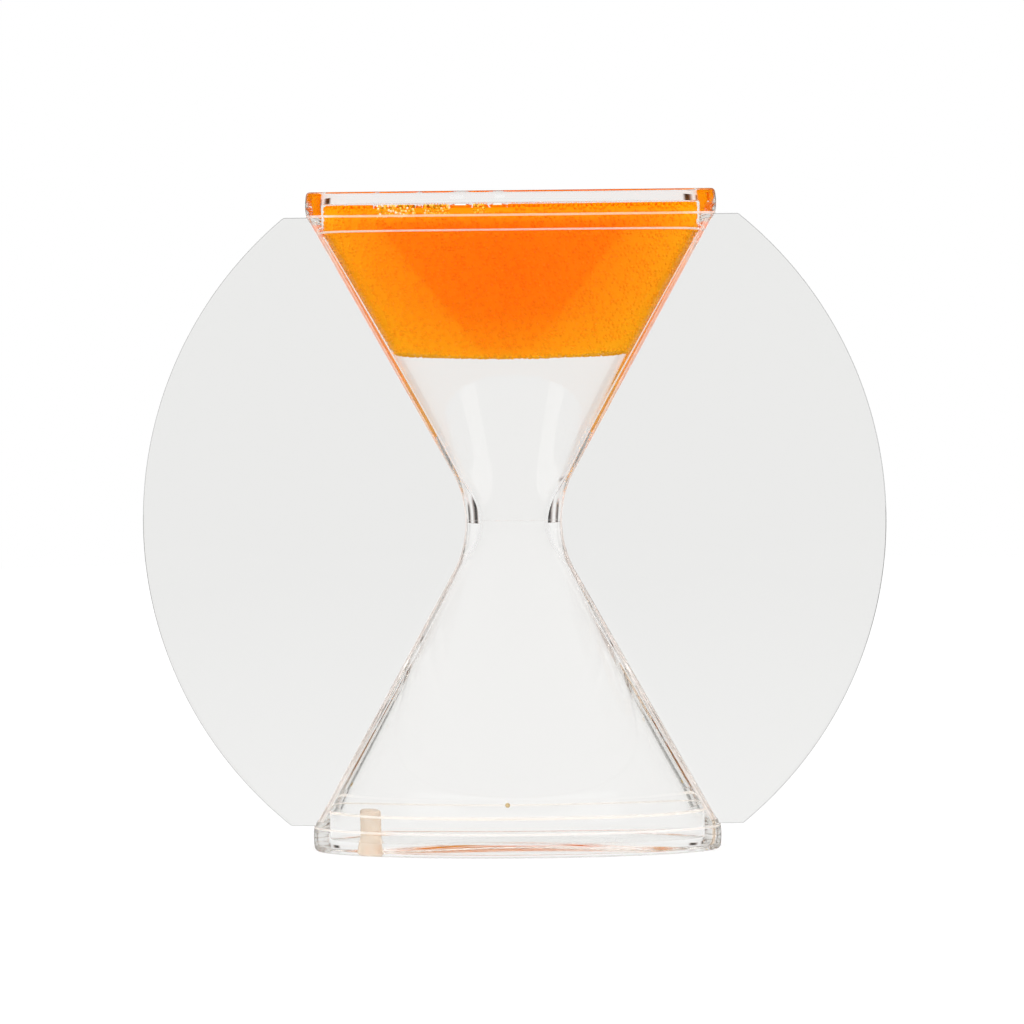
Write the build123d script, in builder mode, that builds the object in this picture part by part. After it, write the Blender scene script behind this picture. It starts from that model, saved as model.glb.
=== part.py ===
from build123d import *
import os
from math import asin, atan2, hypot, sin, sqrt, tan

# Liquid motion timer: a clear hourglass of two chambers between two clear wings.
# Millimetres, +Z up, +X to the right, front towards -Y, origin under the middle of the base.

# Heights
chamber_height = 51.0  # throat joint to mouth face
cap_height = 4.0  # mouth face to a cap's outer face

# Chamber, outside
mouth_half_width = 34.0
mouth_half_depth = 12.5
throat_radius = 8.1
throat_blend = 17.3  # curve from the throat to the straight flank, seen from the front

# Chamber, inside
end_wall = 2.8  # at the left and right ends, across
side_wall = 2.0  # at the front and back, across
bore_radius = 3.8
bore_blend = 12.0

# Mouth recess and cap
end_land = 2.8  # rim left outside the recess at the ends
side_land = 1.6  # rim left outside the recess at the front and back
spigot_length = 2.5
spigot_wall = 1.2
spigot_fit = 0.05  # all round, in the recess
spigot_end_gap = 0.1  # between the spigot's end and the ledge
spigot_lead = 0.3  # chamfer that guides the spigot into the recess
cap_overhang = 0.1  # cap beyond the mouth's rim
cap_plate = 2.0
cap_round = 0.7  # outer edge
cap_joint_round = 0.2  # edge beside the mouth

# Filler plug in the lower cap
plug_inset = 6.55  # plug's axis from the left end of the cap's pocket
plug_radius = 1.7
plug_foot_radius = 2.15
plug_foot_height = 1.8
plug_length = 6.3
plug_tip_chamfer = 0.3
plug_recess = 0.2  # foot above the resting face
plug_fit = 0.03  # all round, in its hole

# Wings
wing_half_width = 61.9
wing_radius = 65.5  # bowed outer edge
wing_thickness = 2.5
wing_setback = 0.2  # straight edge below the mouth face
wing_edge_round = 0.5
wing_corner_round = 0.6
cement_film = 0.05  # between a wing and the chambers

# Contents
bed_depth = 23.8  # lowest point of the bead bed below the upper mouth face
bed_round = 110.0  # sagging underside of the bead bed
contents_gap = 0.1  # between the contents and what holds them
bead_radius = 0.4
bead_offset = 1.4  # loose bead, left of the middle
bead_height = 7.5  # loose bead's centre above the base
bead_gap = 0.2  # liquid around the loose bead

# Worked out from the sizes above
middle = cap_height + chamber_height
mouth_level = middle + chamber_height
ceiling_level = mouth_level + cap_height - cap_plate
bed_level = mouth_level - bed_depth
recess_half_width = mouth_half_width - end_land
recess_half_depth = mouth_half_depth - side_land
spigot_half_width = recess_half_width - spigot_fit
spigot_half_depth = recess_half_depth - spigot_fit
pocket_half_width = spigot_half_width - spigot_wall
pocket_half_depth = spigot_half_depth - spigot_wall
plug_offset = pocket_half_width - plug_inset
middle_plane = Plane.XY.offset(middle)
curve_steps = 4  # spans of the throat's curve


def flank_lean(throat, mouth, blend):
    """Angle from upright of the straight flank that leaves the throat's curve smoothly."""
    reach = mouth - throat - blend
    return atan2(reach, chamber_height) + asin(blend / hypot(reach, chamber_height))


def half_size(height, throat, mouth, blend):
    """Half-width at a height above the throat: an arc first, then the straight flank."""
    lean = flank_lean(throat, mouth, blend)
    if height < blend * sin(lean):
        return throat + blend - sqrt(blend**2 - height**2)
    return mouth - (chamber_height - height) * tan(lean)


def funnel(throat, mouth_width, mouth_depth, blend):
    """Solid that opens from a round throat at mid-height up to an oval mouth."""
    curve_top = blend * sin(flank_lean(throat, mouth_width, blend))
    curve_heights = [curve_top * step / curve_steps for step in range(curve_steps + 1)]
    with BuildPart() as solid:
        for heights in (curve_heights, [curve_top, chamber_height]):
            for height in heights:
                with BuildSketch(Plane.XY.offset(middle + height)):
                    Ellipse(
                        half_size(height, throat, mouth_width, blend),
                        half_size(height, throat, mouth_depth, blend),
                    )
            loft()
    return solid.part


def inside(gap):
    """Room in the upper half of the vessel, up to the cap's ceiling, drawn in by a gap."""
    bore = funnel(
        bore_radius - gap,
        mouth_half_width - end_wall - gap,
        mouth_half_depth - side_wall - gap,
        bore_blend,
    )
    with BuildPart() as room:
        add(bore)
        split(bisect_by=Plane.XY.offset(mouth_level - spigot_length - gap), keep=Keep.BOTTOM)
        with BuildSketch(Plane.XY.offset(mouth_level - spigot_length - gap)):
            Ellipse(pocket_half_width - gap, pocket_half_depth - gap)
        extrude(amount=ceiling_level - mouth_level + spigot_length)
    return room.part


def plug_solid(allowance):
    """Filler plug on its own axis, grown all round by an allowance."""
    foot = plug_foot_radius + allowance
    shank = plug_radius + allowance
    with BuildPart() as solid:
        with BuildSketch(Plane.XZ):
            with BuildLine():
                Polyline(
                    (-plug_offset, plug_recess - allowance),
                    (-plug_offset + foot, plug_recess - allowance),
                    (-plug_offset + shank, plug_recess + plug_foot_height),
                    (-plug_offset + shank, plug_recess + plug_length + allowance),
                    (-plug_offset, plug_recess + plug_length + allowance),
                    close=True,
                )
            make_face()
        revolve(axis=Axis((-plug_offset, 0, 0), (0, 0, 1)))
    return solid.part


# Chambers
chamber_outside = funnel(throat_radius, mouth_half_width, mouth_half_depth, throat_blend)
chamber_inside = funnel(
    bore_radius, mouth_half_width - end_wall, mouth_half_depth - side_wall, bore_blend
)

with BuildPart() as upper_chamber:
    add(chamber_outside)
    add(chamber_inside, mode=Mode.SUBTRACT)
    with BuildSketch(Plane.XY.offset(mouth_level)):
        Ellipse(recess_half_width, recess_half_depth)
    extrude(amount=-spigot_length - spigot_end_gap, mode=Mode.SUBTRACT)

with BuildPart() as lower_chamber:
    mirror(upper_chamber.part, about=middle_plane)

# Caps
with BuildPart() as upper_cap:
    with BuildSketch(Plane.XY.offset(mouth_level)):
        Ellipse(mouth_half_width + cap_overhang, mouth_half_depth + cap_overhang)
    extrude(amount=cap_height)
    fillet(upper_cap.edges().group_by(Axis.Z)[-1], cap_round)
    fillet(upper_cap.edges().group_by(Axis.Z)[0], cap_joint_round)
    with BuildSketch(Plane.XY.offset(mouth_level)):
        Ellipse(spigot_half_width, spigot_half_depth)
    extrude(amount=-spigot_length)
    chamfer(upper_cap.edges().group_by(Axis.Z)[0], spigot_lead)
    with BuildSketch(Plane.XY.offset(mouth_level - spigot_length)):
        Ellipse(pocket_half_width, pocket_half_depth)
    extrude(amount=ceiling_level - mouth_level + spigot_length, mode=Mode.SUBTRACT)

plug_hole = plug_solid(plug_fit)
with BuildPart() as lower_cap:
    mirror(upper_cap.part, about=middle_plane)
    add(plug_hole, mode=Mode.SUBTRACT)
    with Locations((-plug_offset, 0, plug_recess / 2)):
        Cylinder(plug_foot_radius + plug_fit, plug_recess, mode=Mode.SUBTRACT)

# Filler plug
plug_body = plug_solid(0)
with BuildPart() as filler_plug:
    add(plug_body)
    chamfer(filler_plug.edges().group_by(Axis.Z)[-1], plug_tip_chamfer)

# Wings: one outline of two bowed edges and two straight ones, cut to the chambers' flanks
flank_cut = funnel(
    throat_radius + cement_film,
    mouth_half_width + cement_film,
    mouth_half_depth + cement_film,
    throat_blend,
)
with BuildPart() as wing_plate:
    with BuildSketch(Plane.XZ):
        with Locations((wing_radius - wing_half_width, middle)):
            Circle(wing_radius)
        with Locations((wing_half_width - wing_radius, middle)):
            Circle(wing_radius, mode=Mode.INTERSECT)
        with Locations((0, middle)):
            Rectangle(
                2 * wing_half_width,
                2 * (chamber_height - wing_setback),
                mode=Mode.INTERSECT,
            )
    extrude(amount=wing_thickness / 2, both=True)
    fillet(wing_plate.edges().filter_by(Axis.Y), wing_corner_round)
    fillet(wing_plate.faces().sort_by(Axis.Y)[0].edges(), wing_edge_round)
    fillet(wing_plate.faces().sort_by(Axis.Y)[-1].edges(), wing_edge_round)
    add(flank_cut, mode=Mode.SUBTRACT)
    mirror(flank_cut, about=middle_plane, mode=Mode.SUBTRACT)

with BuildPart() as left_wing:
    add(wing_plate.part)
    split(bisect_by=Plane.YZ, keep=Keep.BOTTOM)

with BuildPart() as right_wing:
    mirror(left_wing.part, about=Plane.YZ)

# Contents
room = inside(contents_gap)
with BuildPart() as bead_bed:
    add(room)
    with Locations((0, 0, bed_level + bed_round)):
        Sphere(bed_round, mode=Mode.INTERSECT)

with BuildPart() as rising_bead:
    with Locations((-bead_offset, 0, bead_height)):
        Sphere(bead_radius)

plug_clear = plug_solid(contents_gap)
with BuildPart() as carrier_liquid:
    add(room)
    with Locations((0, 0, bed_level + bed_round)):
        Sphere(bed_round + contents_gap, mode=Mode.SUBTRACT)
    mirror(room, about=middle_plane)
    add(plug_clear, mode=Mode.SUBTRACT)
    with Locations((-bead_offset, 0, bead_height)):
        Sphere(bead_radius + bead_gap, mode=Mode.SUBTRACT)

os.makedirs("parts", exist_ok=True)
pieces = {
    "upper_chamber": upper_chamber,
    "lower_chamber": lower_chamber,
    "upper_cap": upper_cap,
    "lower_cap": lower_cap,
    "left_wing": left_wing,
    "right_wing": right_wing,
    "filler_plug": filler_plug,
    "bead_bed": bead_bed,
    "rising_bead": rising_bead,
    "carrier_liquid": carrier_liquid,
}
for name, piece in pieces.items():
    piece.part.label = name
    export_step(piece.part, f"parts/{name}.step")
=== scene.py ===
# %% [markdown]
# A liquid motion timer in clear acrylic.
#
# The real object is a sealed hourglass full of clear liquid, held between two thin clear wings. Fine
# orange beads float up through the throat and gather under the ceiling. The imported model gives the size
# and place of every piece. This file makes the looks: each clear piece is worked out again as a smooth
# surface, because light bends at every facet of a triangulated solid and would show it.

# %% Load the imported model
import math

import bpy
import numpy as np
from mathutils import Matrix, Vector


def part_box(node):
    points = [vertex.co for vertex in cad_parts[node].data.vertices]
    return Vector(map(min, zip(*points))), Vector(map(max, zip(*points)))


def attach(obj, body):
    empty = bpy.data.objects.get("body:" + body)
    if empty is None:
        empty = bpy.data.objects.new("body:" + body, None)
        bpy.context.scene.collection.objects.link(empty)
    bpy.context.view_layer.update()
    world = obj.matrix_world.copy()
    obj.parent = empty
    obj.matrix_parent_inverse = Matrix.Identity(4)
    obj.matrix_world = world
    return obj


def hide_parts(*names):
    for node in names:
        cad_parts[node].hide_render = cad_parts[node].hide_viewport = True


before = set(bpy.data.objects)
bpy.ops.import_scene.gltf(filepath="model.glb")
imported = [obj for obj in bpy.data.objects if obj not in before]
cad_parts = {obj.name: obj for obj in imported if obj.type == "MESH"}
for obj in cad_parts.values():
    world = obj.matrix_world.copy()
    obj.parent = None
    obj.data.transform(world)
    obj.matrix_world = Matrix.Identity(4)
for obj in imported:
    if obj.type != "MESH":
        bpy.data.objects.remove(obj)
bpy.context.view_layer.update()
scene = bpy.context.scene

# %% [markdown]
# Sizes. What the frame can tell is read from it, so the looks follow the model. A wall's thickness or a
# bore can't be read from a box, so those few values are written here in millimetres, as in the model.

# %% Sizes
MM = 0.001
chamber_low, chamber_high = np.array(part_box("upper_chamber"))
cap_low, cap_high = np.array(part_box("upper_cap"))
wing_low, wing_high = np.array(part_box("right_wing"))
bead_low, bead_high = np.array(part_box("rising_bead"))
plug_low, plug_high = np.array(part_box("filler_plug"))
bed_bottom = np.array(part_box("bead_bed"))[0, 2]

throat_level, mouth_level = chamber_low[2], chamber_high[2]
chamber_height = mouth_level - throat_level
mouth_half_width, mouth_half_depth = chamber_high[0], 12.5 * MM
cap_half_width, cap_half_depth = cap_high[0], 12.6 * MM
cap_top, spigot_level = cap_high[2], cap_low[2]
bead_radius = (bead_high[2] - bead_low[2]) / 2
wing_half_thickness = wing_high[1]

throat_radius, throat_blend = 8.1 * MM, 17.3 * MM
end_wall, side_wall = 2.8 * MM, 2.0 * MM
bore_radius, bore_blend = 3.8 * MM, 12.0 * MM
end_land, side_land = 2.8 * MM, 1.6 * MM
hair_gap = 0.01 * MM
print("chamber height", round(chamber_height / MM, 2), "mm, bead radius", round(bead_radius / MM, 2), "mm")

# %% [markdown]
# Shader nodes. A finish is a small network of nodes. It could be drawn by hand in the shader editor. Here
# a few helpers add the nodes that come up again and again, and each returns its output, so that a network
# reads like a formula.

# %% Helpers for shader nodes


def new_material(name):
    """New material that is made of nodes, and its tree of nodes."""
    material = bpy.data.materials.new(name)
    material.use_nodes = True
    return material, material.node_tree


def feed(tree, sockets, values):
    """Links each output to its socket, and sets each number or colour on its socket."""
    for socket, value in zip(sockets, values):
        if isinstance(value, bpy.types.NodeSocket):
            tree.links.new(value, socket)
        elif value is not None:
            socket.default_value = value


def math_node(tree, operation, first, second=None, third=None):
    """Math node on numbers or outputs."""
    node = tree.nodes.new("ShaderNodeMath")
    node.operation = operation
    feed(tree, node.inputs, (first, second, third))
    return node.outputs[0]


def ramp_node(tree, factor, low, high, smooth=True, start=0.0, end=1.0):
    """Runs from start to end while factor runs from low to high, with soft ends if smooth."""
    node = tree.nodes.new("ShaderNodeMapRange")
    node.interpolation_type = "SMOOTHSTEP" if smooth else "LINEAR"
    feed(tree, node.inputs, (factor, low, high, start, end))
    return node.outputs["Result"]


def mix_node(tree, factor, first, second):
    """Mix of two colours; each is a colour or an output."""
    node = tree.nodes.new("ShaderNodeMix")
    node.data_type = "RGBA"
    feed(tree, (node.inputs["Factor"], *node.inputs[6:8]), (factor, first, second))
    return node.outputs[2]


def shader_mix(tree, share, first, second):
    """Mix of two shaders with the given share of the second."""
    node = tree.nodes.new("ShaderNodeMixShader")
    feed(tree, node.inputs, (share, first, second))
    return node.outputs[0]


def noise_node(tree, scale, stretch=None):
    """Noise of a scale per metre on Object coordinates, which a stretch multiplies along each axis."""
    place = tree.nodes.new("ShaderNodeTexCoord").outputs["Object"]
    if stretch:
        mapping = tree.nodes.new("ShaderNodeMapping")
        mapping.inputs["Scale"].default_value = stretch
        tree.links.new(place, mapping.inputs["Vector"])
        place = mapping.outputs[0]
    noise = tree.nodes.new("ShaderNodeTexNoise")
    noise.inputs["Scale"].default_value = scale
    tree.links.new(place, noise.inputs["Vector"])
    return noise.outputs["Fac"]


print("helpers for nodes are ready")

# %% [markdown]
# Clear materials. Light bends by the ratio of the two materials that meet at a surface. Where acrylic
# meets air that ratio is 1.49. Where acrylic meets the liquid it is only about 1.05, so the wetted faces
# get their own finish, and the liquid needs no second surface a hair away from the wall, which would
# mirror like a gap of air. With so small a ratio the wetted faces nearly disappear, and the orange of the
# beads reaches the ends of the upper cap and runs down inside the wall. Where two acrylic pieces are
# cemented the ratio is 1, and the joint disappears. A glass shader's colour takes a little of the light at
# every crossing and every mirroring, so light that runs along inside a wall comes out darker, as it does
# in real acrylic.

# %% Clear finishes
IOR_ACRYLIC = 1.49
IOR_LIQUID = 1.42
CLEAR = (0.955, 0.954, 0.949, 1.0)
WET_CLEAR = (0.986, 0.985, 0.983, 1.0)
PURE = (1.0, 1.0, 1.0, 1.0)


def clear_material(name, ior, tint, alpha=0.3):
    """Clear material: ior bends the light, and tint is the share left by a crossing or a mirroring."""
    material, tree = new_material(name)
    tree.nodes.clear()
    glass = tree.nodes.new("ShaderNodeBsdfGlass")
    glass.inputs["Color"].default_value = tint
    glass.inputs["Roughness"].default_value = 0.0
    glass.inputs["IOR"].default_value = ior
    out = tree.nodes.new("ShaderNodeOutputMaterial")
    tree.links.new(glass.outputs[0], out.inputs["Surface"])
    material.diffuse_color = (*tint[:3], alpha)
    return material


acrylic_in_air = clear_material("acrylic_in_air", IOR_ACRYLIC, CLEAR)
acrylic_wet = clear_material("acrylic_wet", IOR_ACRYLIC / IOR_LIQUID, WET_CLEAR)
acrylic_joint = clear_material("acrylic_joint", 1.0, PURE)
wing_acrylic = clear_material("wing_acrylic", IOR_ACRYLIC, (0.93, 0.93, 0.925, 1.0))
wing_edge = clear_material("wing_edge", IOR_ACRYLIC, (0.7, 0.7, 0.7, 1.0))
liquid = clear_material("clear_liquid", 1.0, PURE, 0.1)
print("ratio at the wetted faces:", round(IOR_ACRYLIC / IOR_LIQUID, 3))

# %% [markdown]
# Cement. A joint still shows at its edge, where a little dried cement is whitish and cloudy. Beside the
# wings some cement was smeared along the chambers: thin cloudy streaks. They could be modelled as raised
# lines, but they have no thickness that shows, so a noise that is stretched along the joint draws them.

# %% Cement and smeared cement
STREAK_STRETCH = (0.0, 2600.0, 60.0)
STREAK_EDGE = (0.35, 0.65)
LEAST_CLOUDY, MOST_CLOUDY = 0.25, 0.75


def cement_material(name, tint, clearness):
    """Line of dried cement: whitish and cloudy; clearness is the share of light that passes."""
    material, tree = new_material(name)
    shader = tree.nodes["Principled BSDF"]
    shader.inputs["Base Color"].default_value = tint
    shader.inputs["Roughness"].default_value = 0.45
    shader.inputs["Transmission Weight"].default_value = clearness
    shader.inputs["IOR"].default_value = 1.3
    return material


def smeared_material():
    """Clear face with thin cloudy streaks: the cloudy share is a noise, fine in y and long in z."""
    material = clear_material("acrylic_smeared", IOR_ACRYLIC, CLEAR)
    tree = material.node_tree
    pale = tree.nodes.new("ShaderNodeBsdfDiffuse")
    pale.inputs["Color"].default_value = (0.76, 0.69, 0.66, 1)
    lit_through = tree.nodes.new("ShaderNodeBsdfTranslucent")
    lit_through.inputs["Color"].default_value = (1.0, 0.96, 0.93, 1)
    cloudy = shader_mix(tree, 0.5, pale.outputs[0], lit_through.outputs[0])
    streaks = noise_node(tree, 1.0, STREAK_STRETCH)
    share = ramp_node(tree, streaks, *STREAK_EDGE, smooth=False, start=LEAST_CLOUDY, end=MOST_CLOUDY)
    smeared = shader_mix(tree, share, tree.nodes["Glass BSDF"].outputs[0], cloudy)
    tree.links.new(smeared, tree.nodes["Material Output"].inputs["Surface"])
    return material


cement = cement_material("cement_line", (0.98, 0.93, 0.89, 1.0), 0.68)
frosted = cement_material("frosted_line", (1.0, 0.97, 0.93, 1.0), 0.12)
IN_AIR, WET, JOINT, CEMENT, FROSTED, SMEARED = range(6)
ACRYLIC = [acrylic_in_air, acrylic_wet, acrylic_joint, cement, frosted, smeared_material()]
print("finishes of chambers and caps:", [material.name for material in ACRYLIC])

# %% [markdown]
# Surfaces from grids. Chambers and caps are ovals stacked along a profile: each row of the profile holds
# a half-width, a half-depth and a height. They could be turned with the Screw modifier and scaled, but
# then width and depth couldn't follow curves of their own. One helper turns rows into points, another into
# faces.

# %% Helpers for points
COLUMNS = 720
STRIP_COLUMNS = 16
EDGE_ROWS = 6


def once_round(count=COLUMNS):
    """Angles evenly spaced once round."""
    return np.linspace(0, 2 * np.pi, count, endpoint=False)


def oval_points(rows, strip=0.0):
    """x = half-width * cos t, y = half-depth * sin t, z = height, for t once round.

    Where a strip is given, t is stretched so that y = strip falls on column STRIP_COLUMNS from an end.
    """
    t = once_round()
    quarter = np.broadcast_to(np.arcsin(np.abs(np.sin(t))), (len(rows), COLUMNS))
    if strip:
        edge = STRIP_COLUMNS * 2 * np.pi / COLUMNS
        wanted = np.arcsin(strip / rows[:, 1:2])
        outside = wanted + (quarter - edge) * (np.pi / 2 - wanted) / (np.pi / 2 - edge)
        quarter = np.where(quarter <= edge, quarter * wanted / edge, outside)
    x = rows[:, :1] * np.cos(quarter) * np.sign(np.cos(t))
    y = rows[:, 1:2] * np.sin(quarter) * np.sign(np.sin(t))
    z = np.broadcast_to(rows[:, 2:3], x.shape)
    return np.stack([x, y, z], axis=-1)


def circle_points(centre, radius, height, count=COLUMNS):
    """centre + radius * (cos t, sin t) at a height, for t once round; a column of radii gives rows."""
    t = once_round(count)
    x, y = centre[0] + radius * np.cos(t), centre[1] + radius * np.sin(t)
    return np.stack([x, y, np.broadcast_to(height, x.shape)], axis=-1)


def turn(row, radius, start_deg, end_deg, count=EDGE_ROWS):
    """Rows round an edge: offsets radius * (cos, cos, sin) about row from one angle to another."""
    angle = np.radians(np.linspace(start_deg, end_deg, count))
    offset = np.stack([np.cos(angle), np.cos(angle), np.sin(angle)], axis=-1)
    return np.array(row) + radius * offset


def stack_bands(bands):
    """Joins (rows, finish) bands; a row's finish belongs to the faces between it and the next row."""
    rows = np.vstack([band for band, _ in bands])
    finish = np.concatenate([np.full(len(band), kind) for band, kind in bands])
    return rows, finish


print("an oval has", COLUMNS, "points")

# %% Helpers for faces and pieces


def grid_quads(rows, columns, loop):
    """Quads between neighbouring points; columns always close, rows close if loop is true."""
    r, c = np.meshgrid(np.arange(rows if loop else rows - 1), np.arange(columns), indexing="ij")
    up, on = (r + 1) % rows, (c + 1) % columns
    corners = [r * columns + c, r * columns + on, up * columns + on, up * columns + c]
    return np.stack(corners, axis=-1).reshape(-1, 4)


def pole_fans(rows, columns):
    """Triangles from the first row to a foot point and from the last row to a head point."""
    ring = np.arange(columns)
    onward = (ring + 1) % columns
    foot, top = rows * columns, (rows - 1) * columns
    foot_fan = np.stack([onward, ring, np.full(columns, foot)], axis=-1)
    head_fan = np.stack([top + ring, top + onward, np.full(columns, foot + 1)], axis=-1)
    return np.concatenate([foot_fan, head_fan])


def poled_grid(points, foot, head):
    """Grid of rows closed at both ends by a point: flat points and faces."""
    rows, columns = points.shape[:2]
    flat = np.concatenate([points.reshape(-1, 3), [foot, head]])
    return flat, grid_quads(rows, columns, loop=False).tolist() + pole_fans(rows, columns).tolist()


def make_piece(name, points, faces, materials, finish=None, sharp_deg=35):
    """Mesh object at the origin, smooth but for edges sharper than sharp_deg, with a finish per face."""
    mesh = bpy.data.meshes.new(name)
    mesh.from_pydata(np.asarray(points).reshape(-1, 3), [], faces)
    for material in materials:
        mesh.materials.append(material)
    mesh.polygons.foreach_set("use_smooth", np.ones(len(mesh.polygons), dtype=bool))
    if finish is not None:
        mesh.polygons.foreach_set("material_index", np.asarray(finish, dtype=np.int32))
    mesh.set_sharp_from_angle(angle=math.radians(sharp_deg))
    piece = bpy.data.objects.new(name, mesh)
    scene.collection.objects.link(piece)
    print(name, "made with", len(mesh.polygons), "faces")
    return piece


print("a row of an oval has", len(grid_quads(2, COLUMNS, loop=False)), "faces")

# %% [markdown]
# The chambers. Seen from the front a chamber is an arc that leaves the throat upright and runs on into a
# straight flank. The half-depth follows the same rule with its own mouth. The same pair of formulas,
# drawn in by the wall, gives the inside. The lower chamber is the upper one turned over.

# %% Shape of a chamber's wall


def flank_lean(throat, mouth, blend):
    """Angle from upright of the line through the mouth that touches the throat's arc."""
    reach = mouth - throat - blend
    return math.atan2(reach, chamber_height) + math.asin(blend / math.hypot(reach, chamber_height))


def half_size(height, throat, mouth, blend):
    """throat + blend - sqrt(blend^2 - height^2) on the arc, then mouth - (rest) * tan(lean)."""
    lean = flank_lean(throat, mouth, blend)
    arc = throat + blend - np.sqrt(np.maximum(blend**2 - height**2, 0))
    flank = mouth - (chamber_height - height) * math.tan(lean)
    return np.where(height < blend * math.sin(lean), arc, flank)


def funnel_rows(heights, throat, mouth_width, mouth_depth, blend):
    """Rows (half-width, half-depth, height above the throat) of a chamber's wall."""
    width = half_size(heights, throat, mouth_width, blend)
    depth = half_size(heights, throat, mouth_depth, blend)
    return np.column_stack([width, depth, heights])


def outer_rows(heights):
    """Rows of the outside wall."""
    return funnel_rows(heights, throat_radius, mouth_half_width, mouth_half_depth, throat_blend)


def inner_rows(heights):
    """Rows of the inside wall."""
    width, depth = mouth_half_width - end_wall, mouth_half_depth - side_wall
    return funnel_rows(heights, bore_radius, width, depth, bore_blend)


curve_top = throat_blend * math.sin(flank_lean(throat_radius, mouth_half_width, throat_blend))
print("the throat's arc ends", round(curve_top / MM, 2), "mm above the joint")

# %% Rows of a chamber
WALL_ROWS = 20
spigot_end_gap, mouth_edge_round, groove = 0.1 * MM, 0.1 * MM, 0.02 * MM
ledge_height = spigot_level - throat_level - spigot_end_gap
flank_top = chamber_height - 1.0 * MM
bore_top = 5.0 * MM
arc_heights = np.linspace(hair_gap, curve_top, WALL_ROWS)
flank_heights = np.linspace(curve_top, flank_top, WALL_ROWS)[1:]
funnel_heights = np.linspace(ledge_height, bore_top, WALL_ROWS)[:-1]
bore_heights = np.linspace(bore_top, hair_gap, WALL_ROWS)

outer_wall = outer_rows(np.concatenate([arc_heights, flank_heights]))
outer_wall = np.vstack([outer_wall[0] - [groove, groove, 0], outer_wall])
outer_wall[1, 2] += groove
mouth = np.array([mouth_half_width, mouth_half_depth, chamber_height])
recess = mouth - np.array([end_land, side_land, 0])
recess_foot = np.array([*recess[:2], ledge_height])
chamber_rows, chamber_finish = stack_bands(
    [
        (outer_wall, IN_AIR),
        (turn(mouth - mouth_edge_round, mouth_edge_round, -30, 90), CEMENT),
        (np.array([recess, recess_foot]), JOINT),
        (inner_rows(np.concatenate([funnel_heights, bore_heights])), WET),
    ]
)
mouth_face = len(outer_wall) + EDGE_ROWS - 1
chamber_finish[[mouth_face, -1]] = JOINT
print("a chamber has", len(chamber_rows), "rows")

# %% Chambers
SMEAR_COLUMNS = 34


def columns_by_wings(count):
    """True for the columns up to count away from the left or the right end of the oval."""
    return (np.arange(COLUMNS) + count) % (COLUMNS // 2) < 2 * count


def make_chamber(name, side):
    """Stacks the chamber's rows above (side 1) or below (side -1) the throat."""
    rows = chamber_rows[::side].copy()
    rows[:, 2] = throat_level + side * rows[:, 2]
    kinds = np.repeat(chamber_finish[:, None], COLUMNS, axis=1)
    kinds[: len(outer_wall) - 1, columns_by_wings(SMEAR_COLUMNS)] = SMEARED
    kinds[: len(outer_wall) - 1, columns_by_wings(STRIP_COLUMNS)] = JOINT
    if side < 0:
        kinds = np.roll(kinds[::-1], -1, axis=0)
    points = oval_points(rows, wing_half_thickness)
    faces = grid_quads(len(rows), COLUMNS, loop=True)
    return make_piece(name, points, faces, ACRYLIC, kinds.ravel())


for name, side in (("upper_chamber", 1), ("lower_chamber", -1)):
    chamber = make_chamber(f"{name}_shell", side)
    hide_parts(name)
    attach(chamber, "vessel")

# %% [markdown]
# The caps. A cap is a shallow oval cup: a plate, a rim that sits on the chamber's mouth and a spigot
# that plugs it. Its polished side is very slightly crowned. The lower cap has the filler hole, so its
# flat faces run from that round hole out to the oval rim, one row of faces for each side of the plate.

# %% Sizes of a cap
ROUND_ROWS = 9
cap_plate, cap_round, cap_joint_round = 2.0 * MM, 0.7 * MM, 0.2 * MM
spigot_wall, spigot_fit, spigot_lead = 1.2 * MM, 0.05 * MM, 0.3 * MM
side_crown, pocket_round = 0.12 * MM, 0.4 * MM
cap_height = cap_top - mouth_level
ceiling = cap_height - cap_plate
spigot_end = spigot_level - mouth_level
cap_side = np.array([cap_half_width, cap_half_depth, 0])
spigot = recess - np.array([spigot_fit, spigot_fit, chamber_height])
pocket = spigot - np.array([spigot_wall, spigot_wall, 0])

bulge = np.linspace(-1, 1, ROUND_ROWS)[:, None]
side_half = (cap_height - cap_round - cap_joint_round) / 2
side_rise = bulge * side_half + cap_joint_round + side_half
side_rows = cap_side + np.hstack([-side_crown * bulge**2, -side_crown * bulge**2, side_rise])
side_slope = math.degrees(2 * side_crown / side_half)
print("the cap's side leans", round(side_slope, 1), "degrees at its edges")

# %% Rows of a cap's rim
inset_joint, inset_top = side_crown + cap_joint_round, side_crown + cap_round
pocket_edge = pocket + [-pocket_round, -pocket_round, ceiling - pocket_round]
joint_edge = cap_side + [-inset_joint, -inset_joint, hair_gap + cap_joint_round]
top_edge = cap_side + [-inset_top, -inset_top, cap_height - cap_round]
rim_rows, rim_finish = stack_bands(
    [
        (turn(pocket_edge, pocket_round, 90, 0), WET),
        (np.array([pocket + [0, 0, spigot_end]]), JOINT),
        (np.array([spigot + [-spigot_lead, -spigot_lead, spigot_end]]), FROSTED),
        (np.array([spigot + [0, 0, spigot_end + spigot_lead], spigot + [0, 0, hair_gap]]), JOINT),
        (turn(joint_edge, cap_joint_round, -90, -side_slope), CEMENT),
        (side_rows, IN_AIR),
        (turn(top_edge, cap_round, side_slope, 90, ROUND_ROWS)[1:], IN_AIR),
    ]
)
print("a cap's rim has", len(rim_rows), "rows")

# %% Caps
plug_centre = (plug_low + plug_high) / 2
plug_foot_radius = (plug_high[0] - plug_low[0]) / 2
plug_radius = 1.7 * MM


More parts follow.
